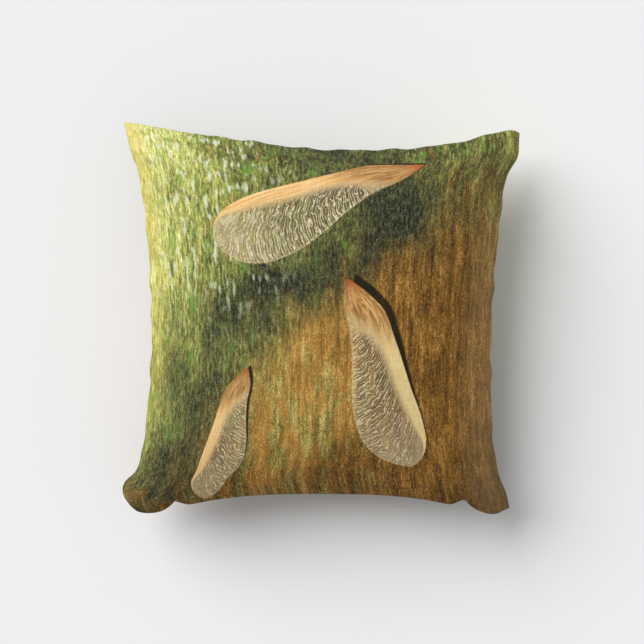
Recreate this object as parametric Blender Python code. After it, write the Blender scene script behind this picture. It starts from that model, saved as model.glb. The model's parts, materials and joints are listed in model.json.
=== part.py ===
"""Square throw pillow lying on its back: a printed cover with a concealed zip, round a fibre insert.

Metres, +Z up. The front panel faces up, +Y is the pillow's top edge and the zip runs along its
bottom edge, at -Y. The origin is under the middle of the box, on the surface it lies on.
"""

import math

import bmesh
import bpy
from mathutils import Matrix, Vector

MM = 0.001

# Overall form. The seam is the pillow's outline, and everything else hangs from it.
SEAM_LEVEL = 62 * MM
CROWN_HEIGHT = 74 * MM
BELLY_DEPTH = 70 * MM
FULLNESS = 0.85
FAR_LEFT = Vector((-192, 192.5)) * MM
FAR_RIGHT = Vector((196, 182)) * MM
NEAR_LEFT = Vector((-196, -188)) * MM
NEAR_RIGHT = Vector((187, -192.5)) * MM
SIDE_SAG = 27 * MM
FAR_SAG = 24 * MM
NEAR_OUT = 4.5 * MM

# Cloth.
CLOTH = 0.7 * MM
GAP = 0.3 * MM
ALLOWANCE = 6 * MM
FOLD_HEIGHT = 3.2 * MM
FOLD_FADE = 14 * MM
THREAD_RADIUS = 0.25 * MM
THREAD_INSET = 2.8 * MM
THREAD_GAP = 0.7 * MM

# Zip. Its chain is straight, a little under the bottom edge, and its frame leans under by ZIP_LEAN.
ZIP_OUT = 170.5 * MM
ZIP_DROP = 12 * MM
ZIP_LEAN = math.radians(24)
CHAIN_HALF = 112 * MM
SLIT_HALF_LENGTH = 118 * MM
SLIT_HALF_WIDTH = 0.9 * MM
SLIT_TAPER = 6 * MM
STRAIGHT_HALF = 132 * MM
LEVEL_HALF = 118.8 * MM
ROLL_END = 185 * MM
FLAT_BAND = 9 * MM
FLAT_FADE = 30 * MM
FLAT_DEPTH = 12 * MM
ROLL_LIMIT = 0.7
NEAR_REACH = 15 * MM
SEAM_REACH = 25 * MM
SEAM_SWING = math.radians(4)
TAPE_THICK = 0.5 * MM
TAPE_HALF_LENGTH = 116.5 * MM
TAPE_EDGE = 0.75 * MM
TAPE_WIDTH = 7.25 * MM
TAPE_DEPTH = 1.2 * MM
TAPE_SPLAY = 0.7 * MM
TOOTH_PITCH = 4 * MM
TOOTH_WIDTH = 2 * MM
TOOTH_ROOT = 1.5 * MM
TOOTH_BACK = 2.75 * MM
TOOTH_TAPER = 0.2
CHAIN_TOP = 2.2 * MM
CHAIN_THICK = 1.6 * MM
STOP_LENGTH = 2.5 * MM
STOP_BEVEL = 0.25 * MM
COMB_START = 0.2 * MM
STITCH_SHARE = 0.7
STITCH_END = 2 * MM

# Slider and pull tab. The slider stands at the closed end, and its tab lies back along the seam.
SLIDER_X = 107 * MM
SLIDER_LENGTH = 9 * MM
SLIDER_HALF_WIDTH = 4 * MM
SLIDER_WALL = 0.9 * MM
SLIDER_FLOOR = 4.1 * MM
SLIDER_PLATE = 1 * MM
SLIDER_LIP = 2.35 * MM
NECK_HALF = 0.45 * MM
PIVOT_OUT = 1.9 * MM
NOSE_RADIUS = 1.9 * MM
EYE_RADIUS = 0.95 * MM
TAB_LENGTH = 20 * MM
TAB_THICK = 1 * MM
TAB_BAR_HALF = 0.5 * MM
TAB_ROOT_HALF = 2.8 * MM
TAB_END_HALF = 3.5 * MM
TAB_WINDOW_LENGTH = 2.7 * MM
TAB_WINDOW_HALF = 0.95 * MM

# Layers under the cover: how far each one's outer face lies inside the skin.
INSERT_SIDE_INSET = 18 * MM
INSERT_FACE_INSET = 7 * MM
INSERT_FLOOR = 1.6 * MM
INSERT_SPLIT = 1.3 * MM
FILLING_SIDE_INSET = 22.5 * MM
FILLING_FACE_INSET = 8.8 * MM
FILLING_FLOOR = 3.2 * MM

COVER_COLUMNS = 26
COVER_ROWS = 18
INSERT_CELLS = 14
CENTRE_REACH = 180 * MM

COLOURS = {
    "printed_cloth": ((0.34, 0.29, 0.13, 1), 0.85, 0.0),
    "sewing_thread": ((0.42, 0.36, 0.2, 1), 0.8, 0.0),
    "zip_tape": ((0.19, 0.15, 0.09, 1), 0.85, 0.0),
    "zip_teeth": ((0.24, 0.19, 0.1, 1), 0.45, 0.0),
    "zip_metal": ((0.5, 0.42, 0.28, 1), 0.35, 1.0),
    "insert_cloth": ((0.86, 0.85, 0.82, 1), 0.9, 0.0),
    "fibre_filling": ((0.93, 0.93, 0.92, 1), 1.0, 0.0),
}


def clear_scene():
    for obj in list(bpy.data.objects):
        bpy.data.objects.remove(obj, do_unlink=True)


def material(name):
    found = bpy.data.materials.get(name)
    if found:
        return found
    made = bpy.data.materials.new(name)
    made.use_nodes = True
    colour, roughness, metallic = COLOURS[name]
    shader = made.node_tree.nodes["Principled BSDF"]
    shader.inputs["Base Color"].default_value = colour
    shader.inputs["Roughness"].default_value = roughness
    shader.inputs["Metallic"].default_value = metallic
    made.diffuse_color = colour
    return made


def add_object(name, data, material_name, parent=None):
    obj = bpy.data.objects.new(name, data)
    bpy.context.scene.collection.objects.link(obj)
    obj.parent = parent
    data.materials.append(material(material_name))
    return obj


def add_mesh(name, bm, material_name, parent=None, smooth=False):
    bmesh.ops.recalc_face_normals(bm, faces=bm.faces)
    mesh = bpy.data.meshes.new(name)
    bm.to_mesh(mesh)
    bm.free()
    if smooth:
        mesh.shade_smooth()
        mesh.set_sharp_from_angle(angle=math.radians(40))
    return add_object(name, mesh, material_name, parent)


def fade(value, full, none):
    """1 up to full, 0 from none on, and smooth between them."""
    share = min(1.0, max(0.0, (abs(value) - full) / (none - full)))
    return 1 - share * share * (3 - 2 * share)


# The outline in plan.


def sagged(start, end, inward, sag, share):
    """A point on one side of the outline: a chord from corner to corner, pulled in between them."""
    along = 2 * share - 1
    return start.lerp(end, share) + Vector(inward) * sag * (1 - along * along)


def near_side(share):
    """The bottom edge keeps level along the zip and turns out to its corners past it."""
    chord = NEAR_LEFT.lerp(NEAR_RIGHT, share)
    level = -(ZIP_OUT + NEAR_OUT)
    return Vector((chord.x, chord.y + (level - chord.y) * fade(chord.x, LEVEL_HALF, ROLL_END)))


def far_side(share):
    return sagged(FAR_LEFT, FAR_RIGHT, (0, -1), FAR_SAG, share)


def left_side(share):
    return sagged(NEAR_LEFT, FAR_LEFT, (1, 0), SIDE_SAG, share)


def right_side(share):
    return sagged(NEAR_RIGHT, FAR_RIGHT, (-1, 0), SIDE_SAG, share)


def plan_point(u, v):
    """The outline's inside, spanned between its four sides as a Coons patch. u and v run from 0 to 1."""
    across = near_side(u) * (1 - v) + far_side(u) * v
    along = left_side(v) * (1 - u) + right_side(v) * u
    low = NEAR_LEFT.lerp(NEAR_RIGHT, u)
    high = FAR_LEFT.lerp(FAR_RIGHT, u)
    return across + along - low.lerp(high, v)


# The skin: the cover's outer face.


def zip_matrix():
    place = Matrix.Translation((0, -ZIP_OUT, SEAM_LEVEL - ZIP_DROP))
    return place @ Matrix.Rotation(ZIP_LEAN, 4, "X")


def roll_angle(a):
    """How far past the pillow's edge the seam lies on the near side, as an angle of the section."""
    x = near_side((math.sin(a) + 1) / 2).x
    drop = ZIP_DROP * fade(x, STRAIGHT_HALF, ROLL_END)
    reach = (drop / BELLY_DEPTH) ** (1 / FULLNESS)
    return math.asin(min(ROLL_LIMIT, reach / max(0.05, math.cos(a))))


def skin_point(a, b, front, side_inset=0.0, face_inset=0.0, floor=0.0, split=0.0):
    """A point of the pillow's section grid. a and b are angles from -90 to 90 degrees across and along.

    b may pass -90 degrees on the front, where the front panel turns under the bottom edge.
    """
    plan = plan_point((math.sin(a) + 1) / 2, (math.sin(b) + 1) / 2)
    plan *= 1 - side_inset / CENTRE_REACH
    swell = (max(0.0, math.cos(a)) * abs(math.cos(b))) ** FULLNESS
    upward = front != (abs(b) > math.pi / 2)
    if upward:
        return Vector((plan.x, plan.y, SEAM_LEVEL + split + (CROWN_HEIGHT - face_inset - split) * swell))
    depth = SEAM_LEVEL - split - (BELLY_DEPTH - face_inset - split) * swell
    return Vector((plan.x, plan.y, max(floor, depth)))


def flattened(point, seam_lift=0.0):
    """The skin beside the zip lies in the zip's own plane, which its stiff tapes hold straight."""
    frame = zip_matrix()
    local = frame.inverted() @ point
    along = fade(local.x, STRAIGHT_HALF, ROLL_END)
    share = along * fade(local.z, FLAT_BAND, FLAT_FADE) * fade(local.y, FLAT_DEPTH, FLAT_FADE)
    local.y *= 1 - share
    local.z -= seam_lift * share
    return frame @ local


def near_seam(a):
    """(the seam's point under the bottom edge in column a, how far across the zip it lay before)."""
    raw = skin_point(a, -math.pi / 2 - roll_angle(a), True)
    lift = (zip_matrix().inverted() @ raw).z
    return flattened(raw, lift), lift


def panel_point(a, b, front):
    return flattened(skin_point(a, b, front), near_seam(a)[1])


def seam_frame(point):
    """(inward, across) at a seam point: into the pillow, and from the back panel to the front one."""
    across = Vector((0, 0, 1))
    if point.y < -ZIP_OUT + SEAM_REACH and abs(point.x) < ROLL_END:
        a = math.asin(2 * (point.x - NEAR_LEFT.x) / (NEAR_RIGHT.x - NEAR_LEFT.x) - 1)
        under = roll_angle(a)
        above = panel_point(a, -math.pi / 2 - under + SEAM_SWING, True)
        below = panel_point(a, -math.pi / 2 + under + SEAM_SWING, False)
        across = (above - below).normalized()
    radial = Vector((-point.x, -point.y, 0))
    inward = radial - across * radial.dot(across)
    return inward.normalized(), across


def grid_angles(u, v, front, rolled):
    a = (u - 0.5) * math.pi
    low = -math.pi / 2
    if rolled:
        low += -roll_angle(a) if front else roll_angle(a)
    return a, low + v * (math.pi / 2 - low)


def unit_grid(columns, rows):
    """A grid over 0 to 1 in x and y."""
    bm = bmesh.new()
    bmesh.ops.create_grid(bm, x_segments=columns, y_segments=rows, size=0.5)
    bmesh.ops.translate(bm, verts=bm.verts, vec=(0.5, 0.5, 0))
    return bm


def outer_edges(bm):
    return [edge for edge in bm.edges if edge.is_boundary]


def solidify(obj):
    """Gives the cloth its thickness, inwards from the face that shows."""
    modifier = obj.modifiers.new("cloth thickness", "SOLIDIFY")
    modifier.thickness = CLOTH
    modifier.offset = -1
    modifier.use_even_offset = True


def face_outward(bm, front):
    """Turns every face of an open dome away from the pillow's middle."""
    bmesh.ops.recalc_face_normals(bm, faces=bm.faces)
    bm.normal_update()
    crown = max(bm.faces, key=lambda face: abs(face.calc_center_median().z - SEAM_LEVEL))
    if (crown.normal.z > 0) != front:
        bmesh.ops.reverse_faces(bm, faces=bm.faces)


def cut_columns(bm):
    """Adds grid columns at the ends of the zip's opening."""
    for x in (SLIT_HALF_LENGTH, SLIT_HALF_LENGTH + SLIT_TAPER):
        for side in (-x, x):
            geom = [*bm.verts, *bm.edges, *bm.faces]
            bmesh.ops.bisect_plane(
                bm, geom=geom, dist=0.01 * MM, plane_co=(side, 0, 0), plane_no=(1, 0, 0)
            )


def on_near_side(point, half_length):
    return point.y < -ZIP_OUT + NEAR_REACH and abs(point.x) < half_length + 0.1 * MM


def cover_panel(name, front):
    """One cloth panel of the cover. Its edge is folded in, and its seam allowance turned inside.

    On the zip's side only the fold is modelled: it ends at the slit, in front of the tape.
    """
    bm = unit_grid(COVER_COLUMNS, COVER_ROWS)
    sign = 1 if front else -1
    for vert in bm.verts:
        a, b = grid_angles(vert.co.x, vert.co.y, front, True)
        seam_point, lift = near_seam(a)
        on_seam = vert.is_boundary
        across = seam_frame(seam_point)[1] if vert.co.y < 0.5 else Vector((0, 0, 1))
        at_zip = vert.co.y < 1e-6
        point = seam_point if at_zip else flattened(skin_point(a, b, front), lift)
        level = seam_point.z if vert.co.y < 0.5 else SEAM_LEVEL
        share = 1 if on_seam else fade(point.z - level, 0, FOLD_FADE)
        vert.co = point + across * sign * FOLD_HEIGHT * share
    cut_columns(bm)
    fold = bmesh.ops.extrude_edge_only(bm, edges=outer_edges(bm))["geom"]
    folded = [item for item in fold if isinstance(item, bmesh.types.BMVert)]
    for vert in folded:
        ends_at = SLIT_HALF_WIDTH if on_near_side(vert.co, SLIT_HALF_LENGTH) else GAP / 2
        vert.co -= seam_frame(vert.co)[1] * sign * (FOLD_HEIGHT - ends_at)
    sewn = [
        edge for edge in outer_edges(bm)
        if not any(on_near_side(vert.co, ROLL_END) for vert in edge.verts)
    ]
    turned = bmesh.ops.extrude_edge_only(bm, edges=sewn)["geom"]
    for vert in (item for item in turned if isinstance(item, bmesh.types.BMVert)):
        vert.co += seam_frame(vert.co)[0] * ALLOWANCE
    face_outward(bm, front)
    mesh = bpy.data.meshes.new(name)
    bm.to_mesh(mesh)
    bm.free()
    mesh.shade_smooth()
    solidify(add_object(name, mesh, "printed_cloth"))


def insert_panel(name, front):
    """One panel of the insert's own plain case."""
    bm = unit_grid(INSERT_CELLS, INSERT_CELLS)
    for vert in bm.verts:
        a, b = grid_angles(vert.co.x, vert.co.y, front, False)
        vert.co = skin_point(
            a, b, front, INSERT_SIDE_INSET, INSERT_FACE_INSET, INSERT_FLOOR, INSERT_SPLIT
        )
    face_outward(bm, front)
    mesh = bpy.data.meshes.new(name)
    bm.to_mesh(mesh)
    bm.free()
    mesh.shade_smooth()
    solidify(add_object(name, mesh, "insert_cloth"))


def insert_filling():
    """The fibre filling: two domes that share their edge."""
    whole = bmesh.new()
    for front in (True, False):
        bm = unit_grid(INSERT_CELLS, INSERT_CELLS)
        for vert in bm.verts:
            a, b = grid_angles(vert.co.x, vert.co.y, front, False)
            vert.co = skin_point(
                a, b, front, FILLING_SIDE_INSET, FILLING_FACE_INSET, FILLING_FLOOR
            )
        half = bpy.data.meshes.new("half")
        bm.to_mesh(half)
        bm.free()
        whole.from_mesh(half)
        bpy.data.meshes.remove(half)
    bmesh.ops.remove_doubles(whole, verts=whole.verts, dist=0.05 * MM)
    add_mesh("insert_filling", whole, "fibre_filling", smooth=True)


def grid_shares(cells):
    """Where the grid's lines meet an edge, from 0 to 1."""
    return [(math.sin((index / cells - 0.5) * math.pi) + 1) / 2 for index in range(cells + 1)]


def seam_line():
    """The sewn seam, from the near right corner round by the far side to the near left one."""
    rows = grid_shares(COVER_ROWS)
    columns = grid_shares(COVER_COLUMNS)
    up = [right_side(v) for v in rows]
    back = [far_side(u) for u in reversed(columns[1:-1])]
    down = [left_side(v) for v in reversed(rows)]
    return [Vector((point.x, point.y, SEAM_LEVEL)) for point in up + back + down]


def thread(name, points, cyclic=False, parent=None):
    curve = bpy.data.curves.new(name, "CURVE")
    curve.dimensions = "3D"
    curve.bevel_depth = THREAD_RADIUS
    curve.bevel_resolution = 0
    curve.use_fill_caps = True
    spline = curve.splines.new("POLY")
    spline.points.add(len(points) - 1)
    for target, point in zip(spline.points, points):
        target.co = (*point, 1)
    spline.use_cyclic_u = cyclic
    return add_object(name, curve, "sewing_thread", parent)


def cover_threads():
    """A lockstitch: one thread lies on each turned edge, just inside the seam."""
    lift = GAP / 2 + CLOTH + THREAD_GAP + THREAD_RADIUS
    for name, sign in (("cover_seam_needle_thread", 1), ("cover_seam_bobbin_thread", -1)):
        line = []
        for point in seam_line():
            inward, across = seam_frame(point)
            line.append(point + inward * THREAD_INSET + across * sign * lift)
        thread(name, line)


def insert_thread():
    steps = [index / INSERT_CELLS for index in range(INSERT_CELLS)]
    corners = [(0, 0, 1, 0), (1, 0, 0, 1), (1, 1, -1, 0), (0, 1, 0, -1)]
    line = []
    for u0, v0, du, dv in corners:
        for step in steps:
            a = (u0 + du * step - 0.5) * math.pi
            b = (v0 + dv * step - 0.5) * math.pi
            line.append(skin_point(a, b, True, INSERT_SIDE_INSET + CLOTH))
    thread("insert_seam_thread", line, cyclic=True)


# The zip, built in its own frame: x along the chain, y into the pillow, z across to the front panel.


def box(bm, low, high):
    made = bmesh.ops.create_cube(bm, size=1)["verts"]
    low, high = Vector(low), Vector(high)
    bmesh.ops.scale(bm, vec=high - low, verts=made)
    bmesh.ops.translate(bm, vec=(low + high) / 2, verts=made)
    return made


def prism(bm, outline, vector):
    """A flat outline, as points, drawn out along a vector."""
    face = bm.faces.new([bm.verts.new(point) for point in outline])
    drawn = bmesh.ops.extrude_face_region(bm, geom=[face])["geom"]
    moved = [item for item in drawn if isinstance(item, bmesh.types.BMVert)]
    bmesh.ops.translate(bm, vec=vector, verts=moved)


def zip_tape(name, sign, frame):
    bm = bmesh.new()
    inner, outer = sign * TAPE_EDGE, sign * (TAPE_EDGE + TAPE_WIDTH)
    outline = [
        (-TAPE_HALF_LENGTH, TAPE_DEPTH, inner),
        (-TAPE_HALF_LENGTH, TAPE_DEPTH + TAPE_SPLAY, outer),
        (-TAPE_HALF_LENGTH, TAPE_DEPTH + TAPE_SPLAY + TAPE_THICK, outer),
        (-TAPE_HALF_LENGTH, TAPE_DEPTH + TAPE_THICK, inner),
    ]
    prism(bm, outline, (2 * TAPE_HALF_LENGTH, 0, 0))
    add_mesh(name, bm, "zip_tape", frame)


def zip_teeth(name, sign, shift, frame):
    """A row of teeth on its core, as one comb. The other row's teeth face the gaps of this one."""
    bm = bmesh.new()
    outline = [(-CHAIN_HALF, CHAIN_TOP, sign * TOOTH_BACK), (-CHAIN_HALF, CHAIN_TOP, sign * TOOTH_ROOT)]
    count = int(2 * CHAIN_HALF / TOOTH_PITCH)
    for index in range(count):
        start = -CHAIN_HALF + shift + index * TOOTH_PITCH
        for x, z in (
            (start, TOOTH_ROOT),
            (start + TOOTH_TAPER * TOOTH_WIDTH, TAPE_EDGE),
            (start + (1 - TOOTH_TAPER) * TOOTH_WIDTH, TAPE_EDGE),
            (start + TOOTH_WIDTH, TOOTH_ROOT),
        ):
            outline.append((x, CHAIN_TOP, sign * z))
    outline += [(CHAIN_HALF, CHAIN_TOP, sign * TOOTH_ROOT), (CHAIN_HALF, CHAIN_TOP, sign * TOOTH_BACK)]
    prism(bm, outline, (0, CHAIN_THICK, 0))
    add_mesh(name, bm, "zip_teeth", frame)


def zip_stop(name, x, low, high, frame):
    """A small crimped clip at an end of the chain."""
    bm = bmesh.new()
    box(bm, (x, CHAIN_TOP, low), (x + STOP_LENGTH, CHAIN_TOP + CHAIN_THICK, high))
    bmesh.ops.bevel(
        bm, geom=list(bm.edges), offset=STOP_BEVEL, segments=1, profile=0.5, affect="EDGES", material=-1
    )
    add_mesh(name, bm, "zip_metal", frame)


def helper(name, bm, parent):
    obj = add_mesh(name, bm, "zip_metal", parent)
    obj.hide_render = True
    obj.display_type = "WIRE"
    return obj


def boolean(obj, operation, other):
    modifier = obj.modifiers.new(other.name, "BOOLEAN")
    modifier.operation = operation
    modifier.object = other


def slider(pivot):
    """A channel round both rows of teeth, with a neck out through the slit that holds the tab.

    It is built about the pivot of its tab, which stands outside the slit.
    """
    bm = bmesh.new()
    half, wall = SLIDER_HALF_WIDTH, SLIDER_WALL
    floor = SLIDER_FLOOR + PIVOT_OUT
    lip = SLIDER_LIP + PIVOT_OUT
    back = floor + SLIDER_PLATE
    section = [
        (-half, lip), (-half, back), (half, back), (half, lip),
        (half - wall, lip), (half - wall, floor), (wall - half, floor), (wall - half, lip),
    ]
    outline = [(-SLIDER_LENGTH / 2, y, z) for z, y in section]
    prism(bm, outline, (SLIDER_LENGTH, 0, 0))
    body = add_mesh("zip_slider", bm, "zip_metal", pivot)

    bm = bmesh.new()
    turns = [math.pi + index * math.pi / 8 for index in range(9)]
    nose = [(NOSE_RADIUS * math.cos(turn), NOSE_RADIUS * math.sin(turn), -NECK_HALF) for turn in turns]
    root = floor + SLIDER_PLATE / 2
    foot = [(NOSE_RADIUS, root, -NECK_HALF), (-NOSE_RADIUS, root, -NECK_HALF)]
    prism(bm, nose + foot, (0, 0, 2 * NECK_HALF))
    boolean(body, "UNION", helper("neck", bm, pivot))

    bm = bmesh.new()
    bmesh.ops.create_cone(
        bm, cap_ends=True, segments=16, radius1=EYE_RADIUS, radius2=EYE_RADIUS, depth=4 * NECK_HALF
    )
    boolean(body, "DIFFERENCE", helper("neck_eye", bm, pivot))


def pull_tab(pivot):
    """A flat tab, wider at its free end, whose bar passes through the eye of the slider's neck."""
    bm = bmesh.new()
    low = -TAB_THICK / 2
    rounding = [index * math.pi / 2 / 4 for index in range(5)]
    radius = TAB_END_HALF
    end = [
        (-TAB_LENGTH + radius * (1 - math.sin(turn)), low, radius * math.cos(turn))
        for turn in rounding
    ]
    outline = [(TAB_BAR_HALF, low, TAB_ROOT_HALF), *end]
    outline += [(x, y, -z) for x, y, z in reversed(end[:-1])]
    outline.append((TAB_BAR_HALF, low, -TAB_ROOT_HALF))
    prism(bm, outline, (0, TAB_THICK, 0))
    tab = add_mesh("zip_pull_tab", bm, "zip_metal", pivot)

    bm = bmesh.new()
    box(
        bm,
        (-TAB_BAR_HALF - TAB_WINDOW_LENGTH, -TAB_THICK, -TAB_WINDOW_HALF),
        (-TAB_BAR_HALF, TAB_THICK, TAB_WINDOW_HALF),
    )
    boolean(tab, "DIFFERENCE", helper("tab_window", bm, pivot))


def zip_assembly():
    frame = bpy.data.objects.new("zip_frame", None)
    bpy.context.scene.collection.objects.link(frame)
    frame.matrix_world = zip_matrix()
    stitch_row = TAPE_EDGE + STITCH_SHARE * TAPE_WIDTH
    stitch_depth = TAPE_DEPTH + STITCH_SHARE * TAPE_SPLAY + TAPE_THICK + GAP + THREAD_RADIUS
    for name, sign in (("upper", 1), ("lower", -1)):
        zip_tape(f"zip_tape_{name}", sign, frame)
        zip_teeth(f"zip_teeth_{name}", sign, TOOTH_PITCH / 4 * (1 + sign) + COMB_START, frame)
        low, high = sorted((sign * TAPE_EDGE, sign * TOOTH_BACK))
        zip_stop(f"zip_top_stop_{name}", CHAIN_HALF + GAP, low, high, frame)
        ends = [
            (x, stitch_depth, sign * stitch_row)
            for x in (-TAPE_HALF_LENGTH + STITCH_END, TAPE_HALF_LENGTH - STITCH_END)
        ]
        thread(f"zip_stitching_{name}", ends, parent=frame)
    zip_stop("zip_bottom_stop", -CHAIN_HALF - GAP - STOP_LENGTH, -TOOTH_BACK, TOOTH_BACK, frame)
    pivot = bpy.data.objects.new("tab_pivot", None)
    bpy.context.scene.collection.objects.link(pivot)
    pivot.parent = frame
    pivot.location = (SLIDER_X, -PIVOT_OUT, 0)
    slider(pivot)
    pull_tab(pivot)


def main():
    clear_scene()
    cover_panel("cover_front_panel", True)
    cover_panel("cover_back_panel", False)
    cover_threads()
    insert_panel("insert_front_panel", True)
    insert_panel("insert_back_panel", False)
    insert_thread()
    insert_filling()
    zip_assembly()


main()
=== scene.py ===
"""The looks of a square throw pillow: its filled cover, printed cloth, zip and studio.

The cover is one closed cloth. It is cut flat, blown up by a cloth simulation between its pinned seams, and
finished with a seam groove all round and two folded lips along the zip.
"""

import json
import math

import bmesh
import bpy
from mathutils import Matrix, Vector


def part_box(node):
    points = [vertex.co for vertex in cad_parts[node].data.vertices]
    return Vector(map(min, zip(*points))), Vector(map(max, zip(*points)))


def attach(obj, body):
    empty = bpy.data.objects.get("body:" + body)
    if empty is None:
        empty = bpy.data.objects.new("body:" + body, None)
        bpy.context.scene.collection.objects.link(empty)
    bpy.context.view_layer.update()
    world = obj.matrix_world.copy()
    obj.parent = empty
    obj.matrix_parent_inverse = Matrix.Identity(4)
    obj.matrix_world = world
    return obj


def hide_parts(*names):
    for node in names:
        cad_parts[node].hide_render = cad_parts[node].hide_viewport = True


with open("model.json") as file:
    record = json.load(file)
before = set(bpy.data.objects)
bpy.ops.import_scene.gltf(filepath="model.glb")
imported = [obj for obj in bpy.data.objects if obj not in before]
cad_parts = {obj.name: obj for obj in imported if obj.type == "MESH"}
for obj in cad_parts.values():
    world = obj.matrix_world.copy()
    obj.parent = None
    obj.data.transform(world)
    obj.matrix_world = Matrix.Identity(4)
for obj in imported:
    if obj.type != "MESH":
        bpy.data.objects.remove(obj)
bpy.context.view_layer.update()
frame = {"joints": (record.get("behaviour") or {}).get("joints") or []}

bl_info = {
    "name": "Throw Pillow",
    "version": (1, 0, 0),
    "blender": (4, 5, 0),
    "location": "View3D > Sidebar > Pillow",
    "description": "Builds a filled square pillow with a printed cover and a concealed zip",
    "category": "Object",
}

MM = 0.001

# The zip's own frame, from the solids that it is built round: x along the chain, y in, z to the front panel.
TAB_STANDOFF = 1.9 * MM


def zip_axis():
    """The zip's frame as a matrix. It stands in from the tab's hinge, on the line where the teeth meet."""
    hinge = next(joint for joint in frame["joints"] if joint["name"] == "tab_hinge")
    across = Vector(hinge["axis"]).normalized()
    along = Vector((1, 0, 0))
    inward = across.cross(along).normalized()
    pivot = Vector(hinge["pos_m"])
    origin = pivot + inward * TAB_STANDOFF
    origin.x = 0
    turned = Matrix((along, inward, across)).transposed().to_4x4()
    return Matrix.Translation(origin) @ turned


ZIP = zip_axis()
ZIP_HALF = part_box("zip_tape_upper")[1].x + 1.5 * MM
ZIP_STRAIGHT = ZIP_HALF + 10 * MM

# The seam's own course, as places that it passes on each side, in millimetres. It runs anticlockwise from
# above, and the corners are the first and last places of each side.
LEVEL = 62
CENTRE = Vector((0, 0, LEVEL * MM))
NEAR_LEFT = (-188.5, -185.5, 60)
NEAR_RIGHT = (186, -188.5, 60)
FAR_RIGHT = (195.5, 180.5, 63)
FAR_LEFT = (-194.5, 191.5, 62)
RIGHT_SIDE = [
    NEAR_RIGHT, (182.5, -172, 60), (174.5, -150, 61), (169, -112, LEVEL), (167.5, -30, LEVEL),
    (170, 28, LEVEL), (175.5, 86, LEVEL), (182, 133, LEVEL), (194, 157, LEVEL), FAR_RIGHT,
]
FAR_SIDE = [
    FAR_RIGHT, (185, 183.5, LEVEL), (160, 178.5, LEVEL), (136, 172, LEVEL), (77, 165, LEVEL),
    (-5, 165, LEVEL), (-63, 172, LEVEL), (-134, 182, LEVEL), (-170, 188.5, LEVEL), FAR_LEFT,
]
LEFT_SIDE = [
    FAR_LEFT, (-186, 157, LEVEL), (-178.5, 134, LEVEL), (-170, 63, LEVEL), (-167, -30, LEVEL),
    (-173.5, -113, LEVEL), (-181, -148, 61), (-193.5, -162, 60), (-195.5, -172, 60), NEAR_LEFT,
]
NEAR_LEFT_END = [NEAR_LEFT, (-176, -193.5, 59), (-156, -192, 56), (-139, -179, 52)]
NEAR_RIGHT_END = [(138, -179, 52), (154, -191, 56), (171, -195, 59), NEAR_RIGHT]
STEPS_BETWEEN = 24

# The small waves that the stitches draw up along the seam, and how far they reach into the cloth.
PUCKER_REACH = 32 * MM
PUCKER_OUT = 0.8 * MM
PUCKER_LIFT = 1.4 * MM
RIGHT_PHASE, FAR_PHASE, LEFT_PHASE = 0.4, 2.1, 3.9

# The cloth beside the zip: held flat in a band, free again further in, and swelling near the zip's two ends.
HELD_BAND = 9 * MM
PIN_FADE = 14 * MM
FREE_FROM = 40 * MM
HELD_EASE = 4 * MM
HELD_END = 26 * MM
END_SWELL = 14 * MM
SWELL_FULL = 22 * MM
SWELL_FALLS = 30 * MM
SWELL_GONE = 80 * MM

# The first filled shape: how far its inner cloth spreads, and how square its dome is.
SPREAD = 0.14
DOME_POWER = 0.42

# The cloth's simulation, and the finish of its edges.
CLOTH = {
    "quality": 6, "mass": 0.25, "tension_stiffness": 25, "compression_stiffness": 25, "shear_stiffness": 8,
    "bending_stiffness": 0.25, "tension_damping": 10, "compression_damping": 10, "shear_damping": 10,
    "air_damping": 2, "use_pressure": True, "pin_stiffness": 4,
}
CLOTH_STEPS = 30
LEAST_PIN = 0.02
SEAM_WELD = 0.05 * MM
ON_SEAM = 0.01 * MM
ON_ZIP = 0.1 * MM
FLOOR_BLEND = 5 * MM
SEAM_PULL = 1.0 * MM
LIP_GAP = 0.9 * MM
LIP_EASE = 8 * MM
LIP_TUCK = 0.15 * MM
LIP_STEPS = [(0.5 * MM, 0.1 * MM), (0.9 * MM, 0.5 * MM), (0.3 * MM, 1.6 * MM)]
SEAM_THREAD_INSET = 5.0 * MM
SEAM_THREAD_RADIUS = 0.3 * MM
SEAM_THREAD_STEPS = 150
SEAM_THREAD_CORNERS = 6
SEAM_THREAD_END = 0.02
SEAM_THREAD_LOOK = 0.004
COURSE_STEPS = 100


def curve_through(places):
    """A smooth line through places, as a list of close points."""
    points = [Vector(place) * MM for place in places]
    before = 2 * points[0] - points[1]
    after = 2 * points[-1] - points[-2]
    padded = [before, *points, after]
    line = []
    for four in zip(padded, padded[1:], padded[2:], padded[3:]):
        line += [catmull_rom(*four, step / STEPS_BETWEEN) for step in range(STEPS_BETWEEN)]
    line.append(points[-1])
    return line


def catmull_rom(a, b, c, d, share):
    """A place between b and c, on the smooth curve through all four."""
    square, cube = share * share, share ** 3
    return 0.5 * (
        2 * b + (c - a) * share + (2 * a - 5 * b + 4 * c - d) * square + (3 * b - a - 3 * c + d) * cube
    )


class Line:
    """A line of close points that is read by its share of length."""

    def __init__(self, points):
        self.points = points
        self.lengths = [0.0]
        for first, second in zip(points, points[1:]):
            self.lengths.append(self.lengths[-1] + (second - first).length)

    def at(self, share):
        """The place at a share of the whole length."""
        target = min(max(share, 0.0), 1.0) * self.lengths[-1]
        low, high = 0, len(self.points) - 1
        while high - low > 1:
            middle = (low + high) // 2
            if self.lengths[middle] <= target:
                low = middle
            else:
                high = middle
        span = self.lengths[high] - self.lengths[low]
        return self.points[low].lerp(self.points[high], (target - self.lengths[low]) / max(span, 1e-9))


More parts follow.
